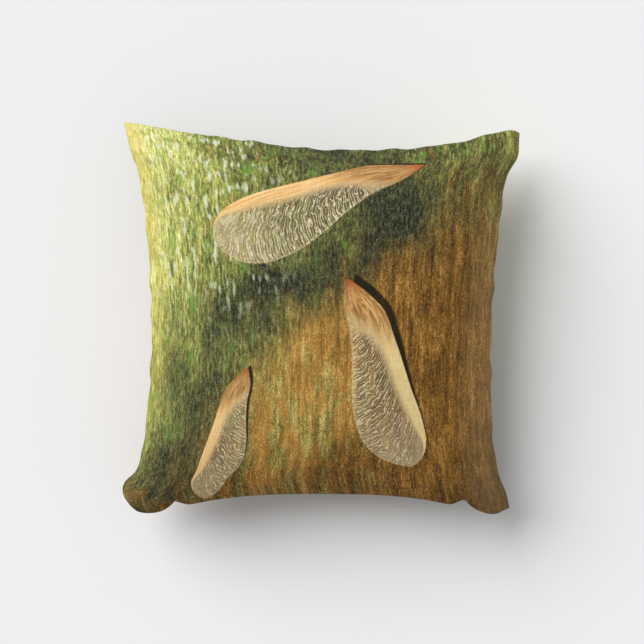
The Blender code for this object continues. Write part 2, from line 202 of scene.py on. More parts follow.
def pucker(point, share, phase, beside):
    """Moves a point by the small waves that the stitches draw up. They fade inwards from the seam."""
    turn = 2 * math.pi * share
    ease = math.sqrt(max(0.0, math.sin(math.pi * share))) * (1 - smooth_step(beside, 0, PUCKER_REACH))
    wave = math.sin(9 * turn + phase) + 0.7 * math.sin(14 * turn + 2.3 * phase)
    lift = math.sin(7 * turn + 1.7 * phase) + 0.6 * math.sin(12 * turn + 0.6 * phase)
    outward = Vector((point.x, point.y, 0)).normalized()
    return point + ease * (PUCKER_OUT * wave * outward + Vector((0, 0, PUCKER_LIFT * lift)))


def near_side_line(half):
    """The zip's side by its flat place: true to size along the zip, and eased in beyond it."""
    left = Line(curve_through([*NEAR_LEFT_END, tuple(ZIP @ Vector((-ZIP_STRAIGHT, 0, 0)) / MM)]))
    right = Line(curve_through([tuple(ZIP @ Vector((ZIP_STRAIGHT, 0, 0)) / MM), *NEAR_RIGHT_END]))

    def at(flat_x):
        if flat_x < -ZIP_STRAIGHT:
            return left.at((flat_x + half) / (half - ZIP_STRAIGHT))
        if flat_x > ZIP_STRAIGHT:
            return right.at((flat_x - ZIP_STRAIGHT) / (half - ZIP_STRAIGHT))
        return ZIP @ Vector((flat_x, 0, 0))

    return at


def smooth_step(value, low, high):
    """0 up to low and 1 from high on, smooth between them."""
    share = min(1.0, max(0.0, (value - low) / (high - low)))
    return share * share * (3 - 2 * share)


def held(beside, along_zip, free_from, free_past):
    """How firmly the zip holds a place of the cloth, from its distances to the seam and the zip's middle."""
    share = 1 - smooth_step(beside, HELD_BAND, free_from)
    return share * (1 - smooth_step(along_zip, ZIP_STRAIGHT - HELD_EASE, ZIP_STRAIGHT + free_past))


# The cover's cloth.


class PillowCoverSettings(bpy.types.PropertyGroup):
    cloth_width: bpy.props.FloatProperty(
        name="Flat width", description="Width of the sewn cover before it is filled",
        default=0.406, min=0.2, max=0.8, unit="LENGTH",
    )
    crown: bpy.props.FloatProperty(
        name="Front height", description="Height of the filled front above the seam",
        default=0.074, min=0.02, max=0.12, unit="LENGTH",
    )
    cells: bpy.props.IntProperty(
        name="Cells", description="Cells of cloth across each panel", default=104, min=16, max=120,
    )
    pressure: bpy.props.FloatProperty(
        name="Filling pressure", description="How hard the filling presses on the cloth",
        default=24.0, min=0, max=90,
    )
    slack: bpy.props.FloatProperty(
        name="Slack", description="How much more cloth there is than the filled shape needs",
        default=0.003, min=0, max=0.2, subtype="FACTOR",
    )
    weave_pitch: bpy.props.FloatProperty(
        name="Weave pitch", description="Distance between the cloth's threads",
        default=0.8 * MM, min=0.2 * MM, max=3 * MM, unit="LENGTH", precision=5,
    )


def cell_places(count, half):
    """Places across a panel. The cells next to the seam are half as wide, to hold its groove."""
    inner = [(-1 + 2 * index / count) for index in range(count + 1)]
    edge = (inner[1] - inner[0]) / 2
    return [half * value for value in [-1, -1 + edge, *inner[1:-1], 1 - edge, 1]]


def dome_point(flat, half, crown, sides, front):
    """Where a place of the flat panel lies on the filled pillow before the simulation."""
    near, right, far, left = sides
    s, t = flat.x / half, flat.y / half
    s_plan = s + SPREAD * s * (1 - s * s)
    t_plan = t + SPREAD * t * (1 - t * t)
    u, v = (s_plan + 1) / 2, (t_plan + 1) / 2
    corner = {(0, 0): near(-half), (1, 0): near(half), (0, 1): far.at(1), (1, 1): far.at(0)}
    across = near(flat.x) * (1 - v) + far.at(1 - u) * v
    along = left.at(1 - v) * (1 - u) + right.at(v) * u
    low = corner[(0, 0)].lerp(corner[(1, 0)], u)
    high = corner[(0, 1)].lerp(corner[(1, 1)], u)
    point = across + along - low.lerp(high, v)
    swell = max(0.0, (1 - s_plan * s_plan) * (1 - t_plan * t_plan)) ** DOME_POWER
    point.z += crown * swell * (1 if front else -1)
    point = pucker(point, v, RIGHT_PHASE, half - flat.x)
    point = pucker(point, 1 - u, FAR_PHASE, half - flat.y)
    point = pucker(point, 1 - v, LEFT_PHASE, half + flat.x)
    beside, along_zip = flat.y + half, abs(flat.x)
    flat_point = ZIP @ Vector((flat.x, 0, beside if front else -beside))
    point = point.lerp(flat_point, held(beside, along_zip, FREE_FROM, HELD_END))
    ends = min(1.0, along_zip / ZIP_STRAIGHT) ** 2 * (1 - smooth_step(along_zip, ZIP_STRAIGHT, half))
    ends *= smooth_step(beside, HELD_BAND, SWELL_FULL) * (1 - smooth_step(beside, SWELL_FALLS, SWELL_GONE))
    point.y -= END_SWELL * ends
    return point


def flat_cover(settings):
    """Two square panels, as one mesh with their flat places as UVs. The back one reads from behind."""
    half = settings.cloth_width / 2
    places = cell_places(settings.cells, half)
    count = len(places) - 1
    whole = bmesh.new()
    uv = whole.loops.layers.uv.new("cloth")
    whole.verts.layers.float_vector.new("flat")
    for front in (True, False):
        before = len(whole.verts)
        bmesh.ops.create_grid(whole, x_segments=count, y_segments=count, size=0.5, calc_uvs=False)
        whole.verts.ensure_lookup_table()
        panel = whole.verts[before:]
        for vert in panel:
            column, row = round((vert.co.x + 0.5) * count), round((vert.co.y + 0.5) * count)
            vert.co = Vector((places[column], places[row], 0))
        faces = {face for vert in panel for face in vert.link_faces}
        for face in faces:
            face.material_index = 0 if front else 1
            for loop in face.loops:
                across = loop.vert.co.x if front else -loop.vert.co.x
                loop[uv].uv = (across / (2 * half) + 0.5, loop.vert.co.y / (2 * half) + 0.5)
        if not front:
            bmesh.ops.reverse_faces(whole, faces=list(faces))
    return whole, half


def simulate(cover, settings, pins):
    """Blows the cloth up between its seams, a little slack, and gives back where it settles."""
    group = cover.vertex_groups.new(name="pinned")
    for index, weight in pins.items():
        group.add([index], weight, "REPLACE")
    modifier = cover.modifiers.new("cloth", "CLOTH")
    cloth = modifier.settings
    for name, value in CLOTH.items():
        setattr(cloth, name, value)
    cloth.uniform_pressure_force = settings.pressure
    cloth.vertex_group_mass = "pinned"
    cloth.shrink_min = -settings.slack
    cloth.effector_weights.gravity = 0
    modifier.collision_settings.use_collision = False
    modifier.point_cache.frame_start = 1
    modifier.point_cache.frame_end = CLOTH_STEPS
    scene = bpy.context.scene
    for step in range(1, CLOTH_STEPS + 1):
        scene.frame_set(step)
    graph = bpy.context.evaluated_depsgraph_get()
    settled = [vert.co.copy() for vert in cover.evaluated_get(graph).data.vertices]
    cover.modifiers.remove(modifier)
    cover.vertex_groups.clear()
    scene.frame_set(1)
    return settled


def build_cover(settings):
    """The filled cover as one closed cloth, before its seam and its zip's lips are finished."""
    whole, half = flat_cover(settings)
    courses = [Line(curve_through(places)) for places in (RIGHT_SIDE, FAR_SIDE, LEFT_SIDE)]
    sides = [near_side_line(half), *courses]
    flat = whole.verts.layers.float_vector["flat"]
    for vert in whole.verts:
        front = vert.link_faces[0].material_index == 0
        vert[flat] = vert.co
        vert.co = dome_point(vert.co, half, settings.crown, sides, front)
    edge = [vert for vert in whole.verts if vert.is_boundary]
    bmesh.ops.remove_doubles(whole, verts=edge, dist=SEAM_WELD)
    mesh = bpy.data.meshes.new("pillow_cover")
    whole.verts.index_update()
    pins = {}
    for vert in whole.verts:
        place = vert[flat]
        hold = held(place.y + half, abs(place.x), PIN_FADE, HELD_EASE)
        on_seam = max(abs(place.x), abs(place.y)) > half - ON_SEAM
        if on_seam or hold > LEAST_PIN:
            pins[vert.index] = 1.0 if on_seam else hold
    whole.to_mesh(mesh)
    whole.free()
    cover = bpy.data.objects.new("pillow_cover", mesh)
    bpy.context.scene.collection.objects.link(cover)
    settled = simulate(cover, settings, pins)
    for vert, place in zip(mesh.vertices, settled):
        vert.co = place
    return cover


def rest_on_floor(cover):
    """The belly lies flat where it meets the surface, and rounds up smoothly from it."""
    for vert in cover.data.vertices:
        z = vert.co.z
        share = min(1.0, max(0.0, 0.5 + 0.5 * z / FLOOR_BLEND))
        vert.co.z = z * share + FLOOR_BLEND * share * (1 - share)


def groove_seam(cover):
    """The seam is pulled a little in, so that the two panels meet in a crease."""
    mesh = cover.data
    for index in seam_indices(mesh):
        vert = mesh.vertices[index]
        inward = CENTRE - vert.co
        inward.z = 0
        vert.co += inward.normalized() * SEAM_PULL


def seam_indices(mesh):
    """Vertices that both panels share."""
    panels = [set() for _ in mesh.vertices]
    for face in mesh.polygons:
        for index in face.vertices:
            panels[index].add(face.material_index)
    return [index for index, found in enumerate(panels) if len(found) == 2]


def open_zip_side(cover):
    """The seam is open along the zip. Each panel's edge there is folded in as a lip."""
    work = bmesh.new()
    work.from_mesh(cover.data)
    work.verts.ensure_lookup_table()
    flat = work.verts.layers.float_vector["flat"]
    to_zip = ZIP.inverted()
    lowest = min(vert[flat].y for vert in work.verts)

    def on_zip(edge):
        if {face.material_index for face in edge.link_faces} != {0, 1}:
            return False
        return all(vert[flat].y < lowest + ON_ZIP and abs(vert[flat].x) < ZIP_HALF for vert in edge.verts)

    bmesh.ops.split_edges(work, edges=[edge for edge in work.edges if on_zip(edge)])
    lips = [edge for edge in work.edges if edge.is_boundary]
    for vert in {vert for edge in lips for vert in edge.verts}:
        if len({face.material_index for face in vert.link_faces}) == 2:
            continue
        local = to_zip @ vert.co
        ease = smooth_step(ZIP_HALF - abs(local.x), 0, LIP_EASE)
        side = 1 if vert.link_faces[0].material_index == 0 else -1
        local.y = 0
        local.z = side * LIP_GAP * ease
        vert.co = ZIP @ local
    for drop, spread in LIP_STEPS:
        made = bmesh.ops.extrude_edge_only(work, edges=lips)
        fresh = [item for item in made["geom"] if isinstance(item, bmesh.types.BMVert)]
        lips = [item for item in made["geom"] if isinstance(item, bmesh.types.BMEdge) and item.is_boundary]
        for vert in fresh:
            local = to_zip @ vert.co
            ease = smooth_step(ZIP_HALF - abs(local.x), 0, LIP_EASE)
            local.y += drop * ease + LIP_TUCK
            local.z += math.copysign(spread * ease, local.z)
            vert.co = ZIP @ local
    work.to_mesh(cover.data)
    work.free()


def soften(cover):
    """One level of subdivision, the same on screen and in the render, and smooth shading."""
    modifier = cover.modifiers.new("smooth", "SUBSURF")
    modifier.levels = 1
    modifier.render_levels = 1
    modifier.boundary_smooth = "PRESERVE_CORNERS"
    cover.data.shade_smooth()


# Materials. Each shared effect is a node group.


class Graph:
    """Adds nodes to a tree. Most calls take numbers or sockets, and give back the node's first output."""

    def __init__(self, tree):
        self.tree = tree

    def node(self, kind, inputs=(), **settings):
        made = self.tree.nodes.new(kind)
        for name, value in settings.items():
            setattr(made, name, value)
        pairs = inputs.items() if isinstance(inputs, dict) else enumerate(inputs)
        for key, value in pairs:
            self.feed(made, key, value)
        return made

    def feed(self, node, key, value):
        """Links a node's input to a socket, or sets it to a value."""
        if isinstance(value, bpy.types.NodeSocket):
            self.tree.links.new(value, node.inputs[key])
        else:
            node.inputs[key].default_value = value

    def math(self, operation, *values, clamp=False):
        return self.node("ShaderNodeMath", values, operation=operation, use_clamp=clamp).outputs[0]

    def times(self, first, second, clamp=False):
        return self.math("MULTIPLY", first, second, clamp=clamp)

    def over(self, first, second, clamp=False):
        return self.math("DIVIDE", first, second, clamp=clamp)

    def plus(self, first, second):
        return self.math("ADD", first, second)

    def minus(self, first, second, clamp=False):
        return self.math("SUBTRACT", first, second, clamp=clamp)

    def most(self, first, second):
        return self.math("MAXIMUM", first, second)

    def least(self, first, second):
        return self.math("MINIMUM", first, second)

    def line(self, value, slope, base, clamp=False):
        """The value times its slope, plus the base."""
        return self.math("MULTIPLY_ADD", value, slope, base, clamp=clamp)

    def weighted(self, base, *parts):
        """The base plus each value times its weight."""
        for value, weight in parts:
            base = self.line(value, weight, base)
        return base

    def step(self, value, low, high):
        """0 below low and 1 above high, smooth between them. A low number above high runs the other way."""
        numbers = not any(isinstance(end, bpy.types.NodeSocket) for end in (low, high))
        ends = (high, low, 1.0, 0.0) if numbers and low > high else (low, high, 0.0, 1.0)
        made = self.node("ShaderNodeMapRange", (value, *ends), interpolation_type="SMOOTHSTEP")
        return made.outputs[0]

    def vector(self, x, y, z=0.0):
        return self.node("ShaderNodeCombineXYZ", (x, y, z)).outputs[0]

    def plane(self, first, second, x, y, z=0.0):
        """Two values by their scales, as a place for noise."""
        return self.vector(self.times(first, x), self.times(second, y), z)

    def noise(self, vector, scale, detail=2.0, roughness=0.5, distortion=0.0):
        inputs = {
            "Vector": vector, "Scale": scale, "Detail": detail, "Roughness": roughness,
            "Distortion": distortion,
        }
        return self.node("ShaderNodeTexNoise", inputs).outputs[0]

    def swing(self, vector, scale, detail=2.0, roughness=0.5):
        """Noise about zero."""
        return self.minus(self.noise(vector, scale, detail, roughness), 0.5)

    def colour(self, factor, first, second, blend="MIX"):
        made = self.node("ShaderNodeMix", data_type="RGBA", blend_type=blend)
        for key, value in ((0, factor), (6, first), (7, second)):
            self.feed(made, key, value)
        return made.outputs[2]

    def curve(self, value, places):
        """A float curve through places, for values from 0 to 1."""
        made = self.node("ShaderNodeFloatCurve", {"Value": value})
        points = made.mapping.curves[0].points
        for place in places[1:-1]:
            points.new(*place)
        for point, place in zip(points, places):
            point.location = place
        made.mapping.update()
        return made.outputs[0]

    def split(self, vector):
        return self.node("ShaderNodeSeparateXYZ", (vector,)).outputs


def tint(red, green, blue):
    """A colour from 0 to 255 in sRGB as the linear colour that nodes take."""
    def linear(value):
        share = value / 255
        return share / 12.92 if share <= 0.04045 else ((share + 0.055) / 1.055) ** 2.4

    return (linear(red), linear(green), linear(blue), 1.0)


def new_group(name, inputs, outputs):
    """An empty node group with its sockets. inputs and outputs map a name to a kind."""
    tree = bpy.data.node_groups.new(name, "ShaderNodeTree")
    for label, kind in inputs.items():
        tree.interface.new_socket(label, in_out="INPUT", socket_type="NodeSocket" + kind)
    for label, kind in outputs.items():
        tree.interface.new_socket(label, in_out="OUTPUT", socket_type="NodeSocket" + kind)
    graph = Graph(tree)
    return graph, graph.node("NodeGroupInput").outputs, graph.node("NodeGroupOutput")


def close_group(graph, end, **values):
    """Puts values out of a node group, and gives it back."""
    for label, socket in values.items():
        graph.feed(end, label, socket)
    return graph.tree


def use(graph, tree, **inputs):
    """Calls a node group, and gives back its outputs."""
    made = graph.node("ShaderNodeGroup", node_tree=tree)
    for label, value in inputs.items():
        graph.feed(made, label, value)
    return made.outputs


def weave_group():
    """A plain weave with slubs: threads at one pitch both ways, thicker and thinner along their length. Its
    shade holds the slubs' tone and painted shade of the threads' relief.
    """
    graph, start, end = new_group(
        "plain_weave", {"Place": "Vector", "Pitch": "Float"}, {"Shade": "Float", "Height": "Float"},
    )
    x, y, _ = graph.split(start["Place"])
    turn = graph.over(math.pi, start["Pitch"])
    across = graph.math("SINE", graph.times(x, turn))
    along = graph.math("SINE", graph.times(y, turn))
    warp_on_top = graph.line(graph.times(across, along), 0.5, 0.5)
    warp = graph.times(graph.math("ABSOLUTE", across), warp_on_top)
    weft = graph.times(graph.math("ABSOLUTE", along), graph.minus(1.0, warp_on_top))
    knit = graph.plus(warp, weft)
    down = graph.noise(graph.plane(x, y, 0.9, 0.06), 1.0, 1.0)
    side = graph.noise(graph.plane(x, y, 0.06, 0.9), 1.0, 1.0)
    slub = graph.minus(graph.plus(down, side), 1.0)
    # The shade: the slubs as uneven tone, and painted shade from the threads' relief, darker where they dip
    # under each other.
    shade = graph.weighted(0.98, (slub, 0.4), (knit, 0.03))
    return close_group(graph, end, Shade=shade, Height=graph.line(slub, 0.8, knit))


# The printed wing, along its length from 0 to 1: how far its two edges stand from its axis, how much of its
# width its stiff band takes, and how far it is lifted off the bark.
LEADING_EDGE = [
    (0, 0), (0.04, 0.028), (0.12, 0.074), (0.22, 0.112), (0.34, 0.118), (0.6, 0.12), (0.82, 0.118),
    (0.93, 0.09), (0.98, 0.045), (1, 0),
]
TRAILING_EDGE = [
    (0, 0), (0.04, 0.02), (0.12, 0.05), (0.25, 0.062), (0.38, 0.092), (0.55, 0.142), (0.72, 0.165),
    (0.86, 0.145), (0.95, 0.085), (1, 0),
]
BAND_WIDTH = [(0, 1), (0.2, 1), (0.3, 0.6), (0.42, 0.36), (0.6, 0.27), (0.8, 0.19), (0.92, 0.08), (1, 0.02)]
LIFTED = [(0, 1), (0.3, 0.9), (0.6, 0.42), (1, 0.1)]


def winged_seed_group():
    """One printed winged seed. It reaches from its nut's tip towards Turn, with its stiff edge on a side."""
    graph, start, end = new_group(
        "winged_seed",
        {
            "Place": "Vector", "Tip X": "Float", "Tip Y": "Float", "Turn": "Float", "Length": "Float",
            "Breadth": "Float", "Side": "Float", "Warmth": "Float", "Lift": "Float",
        },
        {"Colour": "Color", "Cover": "Float", "Shadow": "Float"},
    )
    x, y, _ = graph.split(start["Place"])
    x = graph.minus(x, start["Tip X"])
    y = graph.minus(y, start["Tip Y"])
    cosine = graph.math("COSINE", start["Turn"])
    sine = graph.math("SINE", start["Turn"])

    def local(east, north):
        """A place by the wing's own axis: along it and aside of it, as shares of its length."""
        along = graph.plus(graph.times(east, cosine), graph.times(north, sine))
        aside = graph.minus(graph.times(north, cosine), graph.times(east, sine))
        aside = graph.over(graph.times(aside, start["Side"]), start["Breadth"])
        return graph.over(along, start["Length"]), graph.over(aside, start["Length"])

    def outline(along, aside):
        """How far the two edges stand off there, and how far the place is inside them."""
        lead = graph.curve(along, LEADING_EDGE)
        trail = graph.curve(along, TRAILING_EDGE)
        inside = graph.least(graph.minus(lead, aside), graph.plus(trail, aside))
        ends = graph.least(along, graph.minus(1.0, along))
        return lead, trail, graph.least(inside, ends)

    along, aside = local(x, y)
    lead, trail, inside = outline(along, aside)
    fray = graph.noise(start["Place"], 0.5, 2.0)
    inside = graph.line(graph.minus(fray, 0.5), 0.006, inside)
    shape = graph.step(inside, -0.002, 0.003)

    # The shadow that the lifted wing casts on the bark, up and to the right.
    lifted = graph.times(start["Lift"], graph.curve(along, LIFTED))
    cast_x = graph.minus(x, lifted)
    cast_y = graph.minus(y, graph.times(lifted, 0.75))
    _, _, cast = outline(*local(cast_x, cast_y))
    shadow = graph.times(graph.step(cast, -0.003, 0.008), graph.line(shape, -0.6, 1.0))

    # How far in a place is from the stiff edge, and the swept course of the veins.
    depth = graph.over(graph.minus(lead, aside), graph.plus(lead, trail), clamp=True)
    rest = graph.minus(1.0, depth)
    sweep = graph.times(graph.math("POWER", rest, 2.4), 0.3)
    bent = graph.plus(along, sweep)
    bend = graph.swing(start["Place"], 0.07, 1.0)
    drawn = graph.plane(bent, depth, 70.0, 5.0)
    wobble = graph.swing(drawn, 1.0, 2.0)

    def veins(count, shift):
        """High along a set of thin lines."""
        course = graph.weighted(shift, (bent, count), (bend, 3.0), (wobble, 1.1))
        ridge = graph.math("ABSOLUTE", graph.minus(graph.math("FRACT", course), 0.5))
        return graph.line(wobble, 0.35, ridge)

    # The veins fork on their way out: a few start at the band, and more join them further on.
    reached = graph.weighted(depth, (graph.step(along, 0.55, 0.95), 0.3), (wobble, 0.5))
    outer_net = graph.step(reached, 0.5, 0.8)
    inner_net = graph.minus(graph.step(reached, 0.2, 0.4), outer_net, clamp=True)
    few = graph.step(veins(31.0, 0.0), 0.35, 0.47)
    more = graph.times(graph.step(veins(56.0, 0.4), 0.35, 0.47), inner_net)
    many = graph.times(graph.step(veins(80.0, 0.7), 0.29, 0.46), outer_net)
    vein = graph.most(few, graph.most(more, many))
    gaps = graph.step(graph.noise(start["Place"], 0.33, 2.0), 0.3, 0.6)
    vein = graph.times(vein, graph.line(gaps, 0.35, 0.5))

    # The stiff band, and the nut at the wing's foot.
    band_width = graph.curve(along, BAND_WIDTH)
    inner = graph.times(band_width, 0.55)
    outer = graph.times(band_width, 1.35)
    band = graph.minus(1.0, graph.step(depth, inner, outer))
    nut = graph.step(graph.line(depth, 0.16, along), 0.46, 0.26)

    fibre = graph.noise(graph.plane(along, aside, 5.0, 110.0), 1.0, 3.0)
    ribs = graph.plane(along, depth, 9.0, 11.0)
    rib = graph.noise(ribs, 1.0, 3.0, 0.6, 1.1)
    straw = graph.colour(start["Warmth"], tint(228, 206, 140), tint(216, 166, 98))
    straw = graph.colour(graph.step(fibre, 0.35, 0.75), straw, tint(232, 208, 158))
    pale_rib = graph.colour(start["Warmth"], tint(222, 174, 108), tint(190, 150, 96))
    ribbed = graph.colour(graph.step(rib, 0.34, 0.66), tint(146, 104, 58), pale_rib)
    ribbed = graph.colour(graph.step(along, 0.11, 0.0), ribbed, tint(160, 84, 44))
    solid = graph.colour(nut, straw, ribbed)
    film = graph.colour(graph.step(fray, 0.3, 0.7), tint(196, 168, 120), tint(224, 204, 160))
    net = graph.colour(vein, film, tint(236, 222, 184))
    colour = graph.colour(graph.most(band, nut), net, solid)

    # The film between the veins lets the bark through, less so at the far end.
    far_end = graph.line(graph.step(along, 0.6, 1.0), 0.3, 0.12)
    rim = graph.times(graph.step(inside, 0.016, 0.002), 0.45)
    cover = graph.most(vein, graph.most(far_end, rim))
    cover = graph.most(cover, graph.most(band, nut))
    return close_group(graph, end, Colour=colour, Cover=graph.times(cover, shape), Shadow=shadow)


# The printed ground: the course of its shaded hollow up the cloth, and its tones from dark to light.
PRINT_SIZE = 406
SHADE_COURSE = [
    (0, 0.02), (0.25, 0.13), (0.45, 0.22), (0.55, 0.36), (0.65, 0.58), (0.75, 0.66), (0.85, 0.64), (1, 0.56),
]
MOSS_TONES = [
    (0.0, (32, 33, 24)), (0.22, (64, 65, 40)), (0.42, (103, 106, 58)), (0.6, (148, 152, 80)),
    (0.78, (194, 194, 112)), (0.92, (222, 220, 148)), (1.0, (236, 236, 190)),
]
WOOD_TONES = [
    (0.0, (40, 29, 16)), (0.25, (78, 54, 26)), (0.5, (126, 89, 38)), (0.7, (168, 120, 56)),
    (0.88, (204, 156, 84)), (1.0, (224, 188, 124)),
]


def tones(graph, value, places):
    """A ramp of colours along a value."""
    made = graph.node("ShaderNodeValToRGB", (value,))
    stops = made.color_ramp.elements
    while len(stops) < len(places):
        stops.new(0.5)
    for stop, (place, colour) in zip(stops, places):
        stop.position = place
        stop.color = tint(*colour)
    return made.outputs[0]


def mossy_bark_group():
    """Bark that is bright with moss on the left, bare and brown on the right, and shaded between the two."""
    graph, start, end = new_group("mossy_bark", {"Place": "Vector"}, {"Colour": "Color"})
    place = start["Place"]
    x, y, _ = graph.split(place)
    u = graph.line(x, 1 / PRINT_SIZE, 0.5)
    v = graph.line(y, 1 / PRINT_SIZE, 0.5)

    def streaks(across, along, detail=3.0, roughness=0.6, layer=0.0):
        """Noise about zero, drawn out up the cloth. Each layer is another pattern."""
        where = graph.plane(x, y, across, along, layer)
        return graph.swing(where, 1.0, detail, roughness)

    drift = graph.swing(place, 0.014, 2.0)
    broad = streaks(0.11, 0.026, layer=3.0)
    fine = streaks(0.42, 0.075, layer=7.0)
    thread = streaks(1.3, 0.3, 2.0, layer=11.0)
    grit = graph.swing(place, 0.9, 2.0, 0.7)
    clumps = streaks(0.4, 0.13, 2.0, 0.7, 13.0)
    grain = streaks(0.17, 0.011, 3.0, 0.6, 17.0)
    blotch = streaks(0.024, 0.013, 2.0, 0.5, 29.0)
    warped = graph.weighted(u, (broad, 0.1), (drift, 0.34))

    border = graph.minus(warped, graph.line(v, 1.02, -0.06))
    wood = graph.step(border, -0.14, 0.14)

    # Moss: brightest at its upper left.
    lit = graph.times(graph.step(warped, 0.5, -0.05), graph.line(v, 0.86, 0.16))
    moss_tone = graph.weighted(
        0.33, (lit, 0.55), (broad, 0.6), (fine, 0.85), (grain, 0.45), (grit, 0.7), (clumps, 0.95),
    )
    moss = tones(graph, moss_tone, MOSS_TONES)
    rust = graph.step(streaks(0.16, 0.03, 2.0, layer=19.0), 0.06, 0.2)
    moss = graph.colour(graph.times(rust, 0.45), moss, tint(150, 110, 52))
    fresh = graph.plus(streaks(0.09, 0.035, 2.0, layer=23.0), graph.times(grit, 0.3))
    fresh = graph.step(fresh, 0.03, 0.2)
    moss = graph.colour(graph.times(fresh, 0.62), moss, tint(112, 152, 64))

    # A warm, worn place low in the middle.
    east = graph.times(graph.minus(u, 0.42), 4.6)
    north = graph.times(graph.minus(v, 0.34), 3.6)
    reach = graph.plus(graph.times(east, east), graph.times(north, north))
    glow = graph.step(graph.line(drift, 1.6, reach), 1.3, 0.0)

    # Wood: darker and lighter grain, lighter and greyer towards the right edge and darker towards the lower
    # right corner, with olive growth low in the middle and along the upper right.
    right_edge = graph.step(u, 0.88, 0.98)
    corner = graph.step(graph.minus(u, v), 0.6, 0.96)
    wood_tone = graph.weighted(
        0.49, (glow, 0.2), (broad, 0.75), (right_edge, 0.14), (fine, 0.75), (grain, 0.75), (thread, 1.1),
        (grit, 1.1), (corner, -0.3), (clumps, 0.3),
    )
    bare = tones(graph, wood_tone, WOOD_TONES)
    bare = graph.colour(graph.times(glow, 0.3), bare, tint(182, 146, 70))
    bare = graph.colour(graph.times(graph.step(u, 0.84, 0.97), 0.3), bare, tint(160, 138, 98))
    low = graph.times(graph.step(u, 0.78, 0.5), graph.step(v, 0.62, 0.3))
    high = graph.times(graph.step(v, 0.5, 0.9), graph.step(u, 0.62, 0.8))
    patchy = streaks(0.06, 0.022, 3.0, layer=31.0)
    growth = graph.times(graph.step(graph.line(low, 0.08, patchy), 0.0, 0.18), low)
    rim = graph.times(graph.step(patchy, -0.18, 0.1), high)
    rim = graph.most(rim, graph.step(graph.plus(u, v), 1.6, 1.86))
    growth = graph.most(graph.times(growth, 0.6), graph.times(rim, 0.85))
    olive = tones(graph, graph.minus(wood_tone, 0.12), MOSS_TONES)
    bare = graph.colour(growth, bare, olive)
    ground = graph.colour(wood, moss, bare)

    # The shaded hollow between them.
    hollow = graph.minus(warped, graph.curve(v, SHADE_COURSE))
    hollow = graph.times(hollow, 7.5)
    hollow = graph.math("POWER", math.e, graph.times(graph.times(hollow, hollow), -1.0))
    depth = graph.weighted(0.8, (fine, 1.2), (blotch, 2.6))
    hollow = graph.times(hollow, depth, clamp=True)
    dim = graph.step(graph.plus(grit, clumps), -0.1, 0.34)
    dim = graph.colour(dim, tint(34, 36, 28), tint(104, 108, 76))
    ground = graph.colour(hollow, ground, dim)

    # Pale dabs of lichen, high on the left, and specks all over.
    upper_left = graph.times(graph.step(u, 0.48, 0.28), graph.step(v, 0.42, 0.66))
    dab = graph.step(graph.line(grit, 0.25, streaks(0.17, 0.06, 1.0, 0.5, 41.0)), 0.06, 0.2)
    ground = graph.colour(graph.times(graph.times(dab, upper_left), 0.8), ground, tint(204, 214, 180))
    speck = graph.step(graph.noise(place, 0.75, 1.0), 0.69, 0.76)
    patch = graph.step(graph.noise(place, 0.035, 1.0), 0.45, 0.62)
    ground = graph.colour(graph.times(graph.times(speck, patch), 0.75), ground, tint(222, 220, 190))
    fringe = graph.times(graph.step(u, 0.09, 0.02), graph.line(v, 0.76, -0.14, clamp=True))
    ground = graph.colour(fringe, ground, tint(206, 186, 92))
    return close_group(graph, end, Colour=ground)


# Printed winged seeds on the flat cloth: the nut's tip in millimetres from the middle, the way the wing
# points, its length, its breadth against the usual, its stiff edge's side, how orange it is and how far its
# nut is lifted.
SEEDS = [
    {"Tip X": 91.0, "Tip Y": 171.0, "Turn": math.radians(207.6), "Length": 226.0, "Breadth": 1.06,
     "Side": -1.0, "Warmth": 1.0, "Lift": 3.0},
    {"Tip X": 24.0, "Tip Y": 41.0, "Turn": math.radians(289.8), "Length": 205.0, "Breadth": 1.12,
     "Side": 1.0, "Warmth": 0.15, "Lift": 7.0},
    {"Tip X": -76.0, "Tip Y": -48.0, "Turn": math.radians(255.5), "Length": 135.0, "Breadth": 1.1,
     "Side": -1.0, "Warmth": 0.8, "Lift": 3.5},
]
SHADOW_STRENGTH = 0.93
THREAD_TINT = tint(92, 78, 44)


def new_surface(name, roughness, **settings):
    """A material with a Principled shader, ready for its nodes. Even values stand on the shader itself."""
    material = bpy.data.materials.new(name)
    material.use_nodes = True
    material.node_tree.nodes.clear()
    graph = Graph(material.node_tree)
    shader = graph.node("ShaderNodeBsdfPrincipled", {"Roughness": roughness, **settings})
    graph.node("ShaderNodeOutputMaterial", {"Surface": shader.outputs[0]})
    return material, graph, shader


def bump(graph, shader, height, distance):
    """Raises and lowers the surface's shading by up to a distance."""
    made = graph.node("ShaderNodeBump", {"Strength": 0.6, "Distance": distance, "Height": height})
    graph.feed(shader, "Normal", made.outputs[0])


def stretched(graph, vector, size):
    """A vector times a number."""
    return graph.node("ShaderNodeVectorMath", (vector, (size,) * 3), operation="MULTIPLY").outputs[0]


def own_place(graph):
    """Where a spot is on its own object, in millimetres."""
    return stretched(graph, graph.node("ShaderNodeTexCoord").outputs["Object"], 1 / MM)


